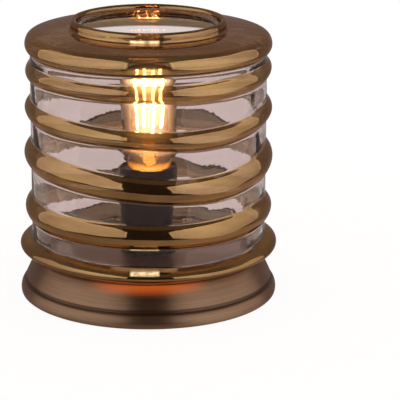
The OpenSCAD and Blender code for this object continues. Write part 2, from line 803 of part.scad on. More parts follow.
glass_shade();
base_shell();
cord_bush();
felt_pad();
bottom_plate();
plate_screws();
ballast_weight();
spacer_tube();
threaded_rod();
clamp_nuts();
rod_washer();
earth_tag();
terminal_block();
block_terminals();
block_screws();
earth_wire();
live_wire();
neutral_wire();
holder_sleeve();
holder_cap();
holder_core();
holder_skirt();
screw_shell();
centre_contact();
holder_terminals();
terminal_screws();
bulb_glass();
bulb_cap();
bulb_insulator();
bulb_contact();
bulb_driver();
bulb_stem();
filament_supports();
bulb_filaments();
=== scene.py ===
"""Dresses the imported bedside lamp: lustred blown glass, spun bronze, lit bulb, lampholder and wiring."""

import logging
import math
from collections.abc import Callable, Sequence
from dataclasses import dataclass
from enum import Enum

import bpy
import numpy as np
from mathutils import Matrix, Vector


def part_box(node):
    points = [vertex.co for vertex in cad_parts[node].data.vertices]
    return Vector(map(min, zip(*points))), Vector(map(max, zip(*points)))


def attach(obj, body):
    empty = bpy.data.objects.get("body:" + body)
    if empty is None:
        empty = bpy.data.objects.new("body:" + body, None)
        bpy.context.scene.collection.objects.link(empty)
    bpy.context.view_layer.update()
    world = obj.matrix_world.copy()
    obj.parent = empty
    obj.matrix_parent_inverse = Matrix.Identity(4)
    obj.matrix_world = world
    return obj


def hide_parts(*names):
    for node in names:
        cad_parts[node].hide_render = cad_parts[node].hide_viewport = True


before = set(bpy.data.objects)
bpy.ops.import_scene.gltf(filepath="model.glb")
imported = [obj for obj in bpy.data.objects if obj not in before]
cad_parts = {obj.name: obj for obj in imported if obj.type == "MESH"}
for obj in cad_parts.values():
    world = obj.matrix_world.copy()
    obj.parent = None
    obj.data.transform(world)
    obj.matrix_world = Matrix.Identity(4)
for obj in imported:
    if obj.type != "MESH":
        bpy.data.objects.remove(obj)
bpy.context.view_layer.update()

MM = 0.001

Point = tuple[float, float]
Colour = tuple[float, float, float]
Window = tuple[float, float, float, float]
Socket = bpy.types.NodeSocket

log = logging.getLogger("bedside_lamp")


class Body(Enum):
    """The lamp's bodies, which move by the part's joints."""

    BASE = "base"
    SHADE = "shade"
    BULB = "bulb"


def deselect_all() -> None:
    """Leaves object mode with nothing selected."""
    if bpy.context.object and bpy.context.object.mode != "OBJECT":
        bpy.ops.object.mode_set(mode="OBJECT")
    bpy.ops.object.select_all(action="DESELECT")


def arc(centre: Point, half: Point, start: float, end: float, steps: int) -> list[Point]:
    """Points along an ellipse's arc.

    Args:
        centre: Radius and height of the ellipse's centre, in millimetres.
        half: Its half axes.
        start: First angle, in degrees.
        end: Last angle, in degrees.
        steps: Stretches between the points.

    Returns:
        The points, with both ends.
    """
    angles = np.radians(np.linspace(start, end, steps + 1))
    return [(centre[0] + half[0] * math.cos(a), centre[1] + half[1] * math.sin(a)) for a in angles]


def eased(points: Sequence[Point], spacing: float, rounds: int) -> list[Point]:
    """Spaces an outline's points evenly and rounds its corners a little.

    Args:
        points: The outline, in millimetres.
        spacing: Distance between the new points.
        rounds: How often each point is drawn towards its neighbours.

    Returns:
        The new outline, with the same ends.
    """
    line = np.array(points, float)
    lengths = np.concatenate([[0.0], np.cumsum(np.linalg.norm(np.diff(line, axis=0), axis=1))])
    places = np.linspace(0.0, lengths[-1], max(2, round(lengths[-1] / spacing)) + 1)
    line = np.column_stack([np.interp(places, lengths, line[:, k]) for k in (0, 1)])
    for _ in range(rounds):
        line[1:-1] = line[1:-1] / 2 + (line[:-2] + line[2:]) / 4
    return [(float(r), float(z)) for r, z in line]


def turned(name: str, outline: Sequence[Point], segments: int, closed: bool = True) -> bpy.types.Object:
    """Spins a half outline round the lamp's axis.

    Args:
        name: The piece's name.
        outline: Radius and height of each point, in millimetres.
        segments: Steps of the spin.
        closed: Whether the last point is joined to the first.

    Returns:
        The smooth-shaded piece, with its place in its mesh.
    """
    deselect_all()
    first = outline[0]
    bpy.ops.mesh.primitive_plane_add(size=MM, location=(first[0] * MM, 0, first[1] * MM))
    piece = bpy.context.object
    piece.name = name
    bpy.ops.object.transform_apply(location=True, rotation=True, scale=True)
    bpy.ops.object.mode_set(mode="EDIT")
    bpy.ops.mesh.merge(type="CENTER")
    path = list(outline[1:]) + ([first] if closed else [])
    for (r0, z0), (r1, z1) in zip([first, *path[:-1]], path):
        move = ((r1 - r0) * MM, 0, (z1 - z0) * MM)
        bpy.ops.mesh.extrude_vertices_move(TRANSFORM_OT_translate={"value": move})
    bpy.ops.mesh.select_all(action="SELECT")
    bpy.ops.mesh.remove_doubles(threshold=1e-5)
    bpy.ops.mesh.spin(steps=segments, angle=math.tau, center=(0, 0, 0), axis=(0, 0, 1))
    bpy.ops.mesh.select_all(action="SELECT")
    bpy.ops.mesh.remove_doubles(threshold=1e-5)
    bpy.ops.mesh.normals_make_consistent(inside=False)
    bpy.ops.object.mode_set(mode="OBJECT")
    bpy.ops.object.shade_smooth_by_angle(angle=math.radians(40))
    return piece


def reshaped(piece: bpy.types.Object, move: Callable[[np.ndarray], np.ndarray]) -> None:
    """Moves a piece's points by a rule, as a hand would push the soft glass.

    Args:
        piece: The piece to change.
        move: Takes the points as rows of x, y, z in metres and returns their new places.
    """
    count = len(piece.data.vertices)
    places = np.empty(count * 3, np.float32)
    piece.data.vertices.foreach_get("co", places)
    moved = move(places.reshape(-1, 3).astype(float))
    piece.data.vertices.foreach_set("co", moved.astype(np.float32).ravel())
    piece.data.update()


class Recipe:
    """A material's nodes, with a short word for each kind that the lamp's finishes use."""

    def __init__(self, name: str) -> None:
        """Starts a material with its output alone.

        Args:
            name: The material's name.
        """
        self.material = bpy.data.materials.new(name)
        self.material.use_nodes = True
        self.tree = self.material.node_tree
        self.tree.nodes.clear()
        self.output = self.tree.nodes.new("ShaderNodeOutputMaterial")

    @classmethod
    def of_tree(cls, tree: bpy.types.NodeTree, output: str) -> "Recipe":
        """Starts a recipe on a tree that exists, such as the world's.

        Args:
            tree: The tree, which is cleared.
            output: The type of its output node.

        Returns:
            The recipe.
        """
        recipe = cls.__new__(cls)
        recipe.tree = tree
        tree.nodes.clear()
        recipe.output = tree.nodes.new(output)
        return recipe

    def add(self, kind: str, **settings: object) -> bpy.types.Node:
        """Adds a node.

        Args:
            kind: The node's type, without its common prefix.
            **settings: Values of the node's own properties.

        Returns:
            The node.
        """
        node = self.tree.nodes.new("ShaderNode" + kind)
        for key, value in settings.items():
            setattr(node, key, value)
        return node

    def feed(self, socket: Socket, value: object) -> None:
        """Links a socket, or sets its plain value.

        Args:
            socket: The input.
            value: Another node's output, a number or a colour.
        """
        if isinstance(value, bpy.types.NodeSocket):
            self.tree.links.new(value, socket)
        elif isinstance(value, tuple) and len(value) == 3 and socket.type == "RGBA":
            socket.default_value = (*value, 1.0)
        else:
            socket.default_value = value

    def place(self) -> Socket:
        """Gives the point on the piece, in metres."""
        return self.add("TexCoord").outputs["Object"]

    def attribute(self, name: str) -> Socket:
        """Gives a value that the mesh itself carries."""
        return self.add("Attribute", attribute_name=name).outputs["Fac"]

    def math(self, operation: str, *values: object, clamp: bool = False) -> Socket:
        """Works out one number.

        Args:
            operation: The sum's name.
            *values: Its numbers or outputs.
            clamp: Whether the result is kept from 0 to 1.

        Returns:
            The result.
        """
        node = self.add("Math", operation=operation, use_clamp=clamp)
        for socket, value in zip(node.inputs, values):
            self.feed(socket, value)
        return node.outputs[0]

    def joined(self, x: object, y: object, z: object) -> Socket:
        """Makes a place from three numbers."""
        node = self.add("CombineXYZ")
        for socket, value in zip(node.inputs, (x, y, z)):
            self.feed(socket, value)
        return node.outputs[0]

    def round_place(self) -> tuple[Socket, Socket, Socket]:
        """Gives the distance from the lamp's axis, the angle round it and the height."""
        split = self.add("SeparateXYZ")
        self.feed(split.inputs[0], self.place())
        x, y, z = split.outputs
        squares = self.math("ADD", self.math("MULTIPLY", x, x), self.math("MULTIPLY", y, y))
        return self.math("SQRT", squares), self.math("ARCTAN2", y, x), z

    def noise(self, place: Socket, scale: float, detail: float = 2.0, roughness: float = 0.5) -> Socket:
        """Gives a soft random pattern.

        Args:
            place: Where the pattern is read.
            scale: Its fineness.
            detail: Its number of finer layers.
            roughness: The strength of the finer layers.

        Returns:
            The pattern, from about 0 to 1.
        """
        node = self.add("TexNoise")
        self.feed(node.inputs["Vector"], place)
        node.inputs["Scale"].default_value = scale
        node.inputs["Detail"].default_value = detail
        node.inputs["Roughness"].default_value = roughness
        return node.outputs["Fac"]

    def ranged(self, value: Socket, low: float, high: float, new_low: float, new_high: float,
               smooth: bool = False) -> Socket:
        """Maps a number from one range to another, kept inside it.

        Args:
            value: The number.
            low: Start of its range.
            high: End of its range.
            new_low: Result at the start.
            new_high: Result at the end.
            smooth: Whether the ends are rounded.

        Returns:
            The new number.
        """
        node = self.add("MapRange", interpolation_type="SMOOTHSTEP" if smooth else "LINEAR")
        for socket, number in zip(node.inputs, (value, low, high, new_low, new_high)):
            self.feed(socket, number)
        return node.outputs[0]

    def window(self, value: Socket, edges: Window, most: float) -> Socket:
        """Rises softly from 0 to most and falls again.

        Args:
            value: The number that is read.
            edges: Where the rise starts and ends, and where the fall starts and ends.
            most: The number between the rise and the fall.

        Returns:
            The number.
        """
        rise, full, fade, end = edges
        return self.math("MULTIPLY", self.ranged(value, rise, full, 0.0, most, smooth=True),
                         self.ranged(value, fade, end, 1.0, 0.0, smooth=True))

    def curve(self, value: Socket, low: float, high: float, stops: Sequence[Point]) -> Socket:
        """Reads a number from a line drawn through stops.

        Args:
            value: Where the line is read.
            low: Start of its range.
            high: End of its range.
            stops: Places in the range, rising, each with its number.

        Returns:
            The number.
        """
        node = self.add("ValToRGB")
        self.feed(node.inputs[0], self.ranged(value, low, high, 0.0, 1.0))
        least, most = min(n for _, n in stops), max(n for _, n in stops)
        marks = node.color_ramp.elements
        while len(marks) > 1:
            marks.remove(marks[-1])
        for index, (place, number) in enumerate(stops):
            spot = (place - low) / (high - low)
            mark = marks[0] if index == 0 else marks.new(spot)
            mark.position = spot
            grey = (number - least) / (most - least)
            mark.color = (grey, grey, grey, 1.0)
        return self.ranged(node.outputs[0], 0.0, 1.0, least, most)

    def blend(self, factor: object, first: object, second: object) -> Socket:
        """Mixes two colours.

        Args:
            factor: Share of the second.
            first: A colour or an output.
            second: A colour or an output.

        Returns:
            The mixed colour.
        """
        node = self.add("Mix", data_type="RGBA")
        self.feed(node.inputs["Factor"], factor)
        self.feed(node.inputs[6], first)
        self.feed(node.inputs[7], second)
        return node.outputs[2]

    def bump(self, height: Socket, strength: float, distance: float) -> Socket:
        """Gives a surface direction tilted by a height pattern.

        Args:
            height: The pattern.
            strength: Its share.
            distance: Its depth, in metres.

        Returns:
            The tilted direction.
        """
        node = self.add("Bump")
        node.inputs["Strength"].default_value = strength
        node.inputs["Distance"].default_value = distance
        self.feed(node.inputs["Height"], height)
        return node.outputs["Normal"]

    def surface(self, **inputs: object) -> bpy.types.Node:
        """Adds the main shader.

        Args:
            **inputs: Its values, with _ for the spaces in their names.

        Returns:
            The shader's node.
        """
        node = self.add("BsdfPrincipled")
        for key, value in inputs.items():
            self.feed(node.inputs[key.replace("_", " ")], value)
        return node

    def done(self, shader: Socket) -> bpy.types.Material:
        """Links the last shader to the output and gives the material."""
        self.tree.links.new(shader, self.output.inputs["Surface"])
        return self.material


@dataclass(frozen=True)
class LustreGlass:
    """Blown glass that is clear lilac between rings with a fired bronze lustre."""

    clear: Colour = (0.745, 0.65, 0.63)
    lustre: Colour = (0.50, 0.31, 0.12)
    lustre_dark: Colour = (0.33, 0.19, 0.09)
    edge_width: float = 0.35
    cover: float = 0.74
    # Painted glints: warm emission at fixed spots on the front of the glass, in place of the bulb's light caught by
    # its thick edges.
    glint: Colour = (1.0, 0.80, 0.46)
    glint_strength: float = 1.0
    glint_across: Window = (-0.0148, -0.0125, 0.0066, 0.0088)
    neck_glint: Window = (0.2116, 0.2125, 0.2135, 0.2144)
    flange_glint: Window = (0.0424, 0.0434, 0.0448, 0.0458)
    band_glint: Window = (0.0600, 0.0606, 0.0612, 0.0618)

    def glints(self, r: Recipe, radius: Socket, angle: Socket, height: Socket) -> Socket:
        """Strength of the painted glints: warm emission at fixed spots on the front of the neck, the flange and the
        lowest ring, in place of the bulb's light that the thick edges catch.

        Args:
            r: The recipe of the glass.
            radius: Distance from the axis.
            angle: Angle round the axis.
            height: Height.

        Returns:
            The strength.
        """
        across = r.math("MULTIPLY", radius, r.math("COSINE", angle))
        wide = r.math("MULTIPLY", r.window(across, self.glint_across, 1.0), r.math("LESS_THAN", angle, 0.0))
        heights = r.math("ADD", r.window(height, self.neck_glint, 1.0),
                         r.window(height, self.flange_glint, 1.0))
        heights = r.math("ADD", heights, r.window(height, self.band_glint, 0.3))
        place = r.joined(r.math("MULTIPLY", angle, 16.0), radius, r.math("MULTIPLY", height, 500.0))
        patchy = r.ranged(r.noise(place, 1.0, 2.0), 0.35, 0.55, 0.35, 1.0)
        strength = r.math("MULTIPLY", patchy, self.glint_strength)
        return r.math("MULTIPLY", r.math("MULTIPLY", wide, heights), strength)

    def make(self) -> bpy.types.Material:
        """Builds the material."""
        r = Recipe("lustre_glass")
        mask = r.ranged(r.attribute("lustre"), -self.edge_width, self.edge_width, 0.0, 1.0)
        radius, angle, height = r.round_place()
        flow = r.joined(r.math("MULTIPLY", angle, 0.8), r.math("MULTIPLY", radius, 20.0),
                        r.math("MULTIPLY", height, 60.0))
        streaks = r.noise(flow, 1.6, 4.0, 0.55)
        fired = r.blend(r.ranged(streaks, 0.35, 0.7, 0.0, 1.0), self.lustre, self.lustre_dark)
        cloud = r.noise(r.place(), 55.0, 3.0)
        rough = r.math("MULTIPLY", mask, r.ranged(cloud, 0.3, 0.7, 0.03, 0.075))
        ripple = r.noise(r.joined(r.math("MULTIPLY", angle, 2.0), radius, r.math("MULTIPLY", height, 22.0)),
                         2.2, 3.0)
        shader = r.surface(
            Base_Color=r.blend(mask, self.clear, fired),
            Metallic=r.math("MULTIPLY", mask, self.cover),
            Roughness=rough,
            IOR=1.46,
            Specular_Tint=(0.9, 0.74, 0.68, 1.0),
            Transmission_Weight=1.0,
            Normal=r.bump(r.math("MULTIPLY", ripple, r.ranged(mask, 0.0, 1.0, 1.3, 0.9)), 0.25, 0.0012),
            Emission_Color=self.glint,
            Emission_Strength=self.glints(r, radius, angle, height),
        )
        return r.done(shader.outputs[0])


@dataclass(frozen=True)
class SpunBronze:
    """Antique bronze brushed on a lathe, darker in its groove, with a painted warm glow on the front of its slope
    under the flange for the bulb's light.
    """

    pale: Colour = (0.39, 0.25, 0.16)
    dark: Colour = (0.235, 0.145, 0.09)
    # Painted glow: emission on the slope just under the flange, in a lobe at the front, in place of the bulb's light.
    glow: Colour = (1.0, 0.16, 0.015)
    groove_low: float = 0.0113
    groove_high: float = 0.0142
    glow_low: float = 0.0228
    glow_high: float = 0.0305
    glow_inner: float = 0.0880
    glow_strength: float = 0.42

    def make(self) -> bpy.types.Material:
        """Builds the material."""
        r = Recipe("spun_bronze")
        radius, angle, height = r.round_place()
        brush = r.joined(r.math("MULTIPLY", angle, 1.2), r.math("MULTIPLY", radius, 560.0),
                         r.math("MULTIPLY", height, 560.0))
        lines = r.noise(brush, 1.0, 5.0, 0.75)
        patina = r.noise(r.place(), 16.0, 4.0, 0.6)
        tone = r.math("ADD", r.math("MULTIPLY", lines, 0.75), r.math("MULTIPLY", patina, 0.25))
        colour = r.blend(r.ranged(tone, 0.32, 0.68, 0.0, 1.0), self.dark, self.pale)
        low = r.ranged(height, self.groove_low - 0.0009, self.groove_low, 0.0, 1.0, smooth=True)
        high = r.ranged(height, self.groove_high, self.groove_high + 0.0009, 1.0, 0.0, smooth=True)
        in_groove = r.math("MULTIPLY", low, high)
        colour = r.blend(r.math("MULTIPLY", in_groove, 0.7), colour, (0.10, 0.058, 0.04))
        # The painted glow's lobe: the front of the slope only, just under the flange.
        front = r.math("SINE", r.math("MULTIPLY", angle, -1.0))
        lobe = r.ranged(front, 0.84, 1.0, 0.0, 1.0, smooth=True)
        lobe = r.math("MULTIPLY", lobe, r.ranged(radius, self.glow_inner - 0.0004, self.glow_inner, 0.0, 1.0))
        lit = r.math("MULTIPLY", r.ranged(height, self.glow_low, self.glow_high, 0.0, 1.0, smooth=True), lobe)
        shader = r.surface(
            Base_Color=colour,
            Metallic=1.0,
            Roughness=r.ranged(lines, 0.3, 0.7, 0.34, 0.46),
            Anisotropic=0.85,
            Anisotropic_Rotation=0.25,
            Normal=r.bump(lines, 0.25, 0.0002),
            Emission_Color=self.glow,
            Emission_Strength=r.math("MULTIPLY", lit, self.glow_strength),
        )
        tangent = r.add("Tangent", direction_type="RADIAL", axis="Z")
        r.tree.links.new(tangent.outputs[0], shader.inputs["Tangent"])
        return r.done(shader.outputs[0])


@dataclass(frozen=True)
class AmberGlass:
    """Thin tinted glass of the bulb, with a glow painted on as emission for the light of the lit filaments behind it.
    """

    tint: Colour = (0.985, 0.915, 0.80)
    deep_tint: Colour = (0.96, 0.86, 0.70)
    bowl_tint: Colour = (0.82, 0.56, 0.36)
    # Colours and strengths of the glow painted on the glass as emission.
    glow: Colour = (1.0, 0.56, 0.27)
    glow_strength: float = 0.22
    glow_foot: float = 0.112
    glow_start: float = 0.128
    core: Colour = (1.0, 0.80, 0.45)
    core_strength: float = 0.75
    core_heights: Window = (0.126, 0.134, 0.174, 0.180)
    crown_strength: float = 2.2
    crown_heights: Window = (0.158, 0.166, 0.174, 0.180)
    foot: Colour = (1.0, 0.50, 0.06)
    foot_strength: float = 0.30
    foot_height: float = 0.1055

    def make(self) -> bpy.types.Material:
        """Builds the material."""
        r = Recipe("amber_glass")
        through = r.add("BsdfTransparent")
        swirl = r.noise(r.place(), 90.0, 3.0)
        facing = r.add("LayerWeight")
        facing.inputs["Blend"].default_value = 0.5
        inward = r.math("SUBTRACT", 1.0, facing.outputs["Facing"])
        _, _, height = r.round_place()
        edge = r.math("MULTIPLY", r.ranged(height, 0.110, 0.122, 1.0, 0.0, smooth=True),
                      r.ranged(inward, 0.25, 0.9, 1.0, 0.1, smooth=True))
        clear = r.blend(r.ranged(swirl, 0.3, 0.7, 0.0, 1.0), self.tint, self.deep_tint)
        r.feed(through.inputs["Color"], r.blend(edge, clear, self.bowl_tint))
        gloss = r.add("BsdfGlossy")
        gloss.inputs["Color"].default_value = (1.0, 1.0, 1.0, 1.0)
        gloss.inputs["Roughness"].default_value = 0.03
        fresnel = r.add("Fresnel")
        fresnel.inputs["IOR"].default_value = 1.45
        mixed = r.add("MixShader")
        r.feed(mixed.inputs[0], fresnel.outputs[0])
        r.feed(mixed.inputs[1], through.outputs[0])
        r.feed(mixed.inputs[2], gloss.outputs[0])
        # Painted glow: emission on the glass, a soft glow and a bright core and crown mostly where the glass is seen
        # face-on, and an orange band at its foot.
        halo = r.add("Emission")
        along = r.ranged(height, self.glow_foot, self.glow_start, 0.5, 1.0, smooth=True)
        along = r.math("MULTIPLY", along, r.math("POWER", inward, 2.0))
        core = r.math("ADD", r.window(height, self.core_heights, self.core_strength),
                      r.window(height, self.crown_heights, self.crown_strength))
        core = r.math("MULTIPLY", core, r.math("POWER", inward, 9.0))
        foot = r.ranged(height, self.foot_height - 0.003, self.foot_height, self.foot_strength, 0.0,
                        smooth=True)
        soft = r.math("MULTIPLY", along, self.glow_strength)
        share = r.math("DIVIDE", core, r.math("ADD", r.math("ADD", core, soft), 0.001))
        tinted = r.blend(share, self.glow, self.core)
        share = r.math("DIVIDE", foot, r.math("ADD", r.math("ADD", foot, soft), 0.001))
        tinted = r.blend(share, tinted, self.foot)
        r.feed(halo.inputs["Color"], tinted)
        r.feed(halo.inputs["Strength"], r.math("ADD", r.math("ADD", core, foot), soft))
        both = r.add("AddShader")
        r.feed(both.inputs[0], mixed.outputs[0])
        r.feed(both.inputs[1], halo.outputs[0])
        return r.done(both.outputs[0])


@dataclass(frozen=True)
class StemGlass:
    """Clear glass of the bulb's stem, with a warm glow painted on as emission, strongest low down, for the filaments'
    light.
    """

    glow: Colour = (1.0, 0.44, 0.08)
    glow_strength: float = 0.6

    def make(self) -> bpy.types.Material:
        """Builds the material."""
        r = Recipe("stem_glass")
        low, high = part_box("bulb_stem")
        _, _, height = r.round_place()
        # Painted glow: emission strongest near the stem's foot, fading upward.
        lit = r.ranged(height, low.z + 0.004, low.z + 0.030, 1.0, 0.25, smooth=True)
        cloud = r.noise(r.place(), 300.0, 2.0)
        shader = r.surface(
            Base_Color=(0.95, 0.86, 0.72),
            Roughness=r.ranged(cloud, 0.3, 0.7, 0.05, 0.14),
            IOR=1.45,
            Transmission_Weight=0.85,
            Emission_Color=self.glow,
            Emission_Strength=r.math("MULTIPLY", lit, self.glow_strength),
        )
        return r.done(shader.outputs[0])


@dataclass(frozen=True)
class LitFilament:
    """Phosphor-coated filament, mottled by its chips."""

    colour: Colour = (1.0, 0.74, 0.38)
    pale: Colour = (1.0, 0.84, 0.55)
    strength: float = 60.0

    def make(self) -> bpy.types.Material:
        """Builds the material."""
        r = Recipe("lit_filament")
        chips = r.noise(r.place(), 700.0, 1.0)
        shader = r.surface(
            Base_Color=(0.95, 0.72, 0.30),
            Roughness=0.6,
            Emission_Color=r.blend(r.ranged(chips, 0.35, 0.65, 0.0, 1.0), self.colour, self.pale),
            Emission_Strength=self.strength,
        )
        return r.done(shader.outputs[0])


@dataclass(frozen=True)
class Worked:
    """A plain worked metal, plastic, ceramic or rubber with the marks of its making."""

    name: str
    colour: Colour
    shade: Colour
    metallic: float = 0.0
    rough_low: float = 0.3
    rough_high: float = 0.5
    grain: float = 120.0
    turned_lines: bool = False
    bump_depth: float = 0.0001

    def make(self) -> bpy.types.Material:
        """Builds the material."""
        r = Recipe(self.name)
        if self.turned_lines:
            radius, angle, height = r.round_place()
            place = r.joined(r.math("MULTIPLY", angle, 2.0), r.math("MULTIPLY", radius, 10.0 * self.grain),
                             r.math("MULTIPLY", height, 10.0 * self.grain))
            marks = r.noise(place, 1.0, 3.0, 0.6)
        else:
            marks = r.noise(r.place(), self.grain, 4.0, 0.55)
        wear = r.noise(r.place(), self.grain * 0.2, 2.0)
        tone = r.math("ADD", r.math("MULTIPLY", marks, 0.6), r.math("MULTIPLY", wear, 0.4))
        shader = r.surface(
            Base_Color=r.blend(r.ranged(tone, 0.35, 0.65, 0.0, 1.0), self.shade, self.colour),
            Metallic=self.metallic,
            Roughness=r.ranged(marks, 0.3, 0.7, self.rough_low, self.rough_high),
            Normal=r.bump(marks, 0.3, self.bump_depth),
        )
        return r.done(shader.outputs[0])


FINISHES = {
    "sleeve_bronze": Worked("sleeve_bronze", (0.038, 0.020, 0.016), (0.022, 0.011, 0.009), 0.75, 0.32, 0.5, 60.0,
                            True),
    "bush_rubber": Worked("bush_rubber", (0.035, 0.032, 0.03), (0.02, 0.018, 0.017), 0.0, 0.6, 0.8, 400.0),
    "felt": Worked("felt", (0.055, 0.05, 0.046), (0.025, 0.022, 0.02), 0.0, 0.92, 1.0, 900.0, False, 0.0006),
    "plate_steel": Worked("plate_steel", (0.56, 0.56, 0.55), (0.36, 0.36, 0.37), 1.0, 0.28, 0.46, 70.0),
    "screw_steel": Worked("screw_steel", (0.66, 0.66, 0.65), (0.44, 0.44, 0.46), 1.0, 0.2, 0.36, 300.0),
    "weight_iron": Worked("weight_iron", (0.09, 0.09, 0.09), (0.04, 0.04, 0.042), 0.5, 0.6, 0.85, 350.0, False,
                          0.0006),
    "tube_steel": Worked("tube_steel", (0.62, 0.62, 0.62), (0.42, 0.42, 0.44), 1.0, 0.25, 0.4, 90.0, True),
    "fixing_brass": Worked("fixing_brass", (0.72, 0.52, 0.22), (0.5, 0.34, 0.14), 1.0, 0.22, 0.36, 110.0, True),
    "contact_brass": Worked("contact_brass", (0.76, 0.57, 0.26), (0.55, 0.38, 0.16), 1.0, 0.2, 0.34, 250.0),
    "block_plastic": Worked("block_plastic", (0.82, 0.81, 0.76), (0.74, 0.73, 0.68), 0.0, 0.4, 0.55, 500.0),
    "wire_earth": Worked("wire_earth", (0.25, 0.52, 0.08), (0.2, 0.44, 0.06), 0.0, 0.4, 0.55, 500.0),
    "wire_live": Worked("wire_live", (0.2, 0.08, 0.03), (0.15, 0.055, 0.02), 0.0, 0.4, 0.55, 500.0),
    "wire_neutral": Worked("wire_neutral", (0.03, 0.14, 0.47), (0.02, 0.1, 0.38), 0.0, 0.4, 0.55, 500.0),
    "holder_plastic": Worked("holder_plastic", (0.03, 0.028, 0.025), (0.018, 0.016, 0.014), 0.0, 0.3, 0.45, 350.0),
    "core_ceramic": Worked("core_ceramic", (0.84, 0.82, 0.76), (0.76, 0.74, 0.67), 0.0, 0.45, 0.65, 450.0, False,
                           0.0003),
    "cap_metal": Worked("cap_metal", (0.78, 0.66, 0.44), (0.6, 0.48, 0.3), 1.0, 0.2, 0.36, 160.0, True),
    "insulator_glass": Worked("insulator_glass", (0.012, 0.012, 0.014), (0.006, 0.006, 0.008), 0.0, 0.08, 0.18,
                              300.0),
    "contact_tin": Worked("contact_tin", (0.68, 0.66, 0.62), (0.5, 0.48, 0.45), 1.0, 0.25, 0.45, 400.0),
    "driver_board": Worked("driver_board", (0.12, 0.3, 0.12), (0.07, 0.2, 0.07), 0.0, 0.35, 0.5, 600.0),
    "support_wire": Worked("support_wire", (0.66, 0.62, 0.56), (0.5, 0.46, 0.41), 1.0, 0.2, 0.35, 500.0),
}


#: Where the glass's sag was judged, in degrees round the lamp: 0 is the front, and it grows to the right.
STATIONS = (-165, -150, -120, -90, -60, -40, -20, 0, 20, 40, 60, 90, 120, 150, 165, 180)


@dataclass(frozen=True)
class Ring:
    """One band of the shade that swells out and carries the lustre. Its edges sag as blown glass does."""

    height: float
    out: float
    low_sag: tuple[float, ...]
    high_sag: tuple[float, ...]


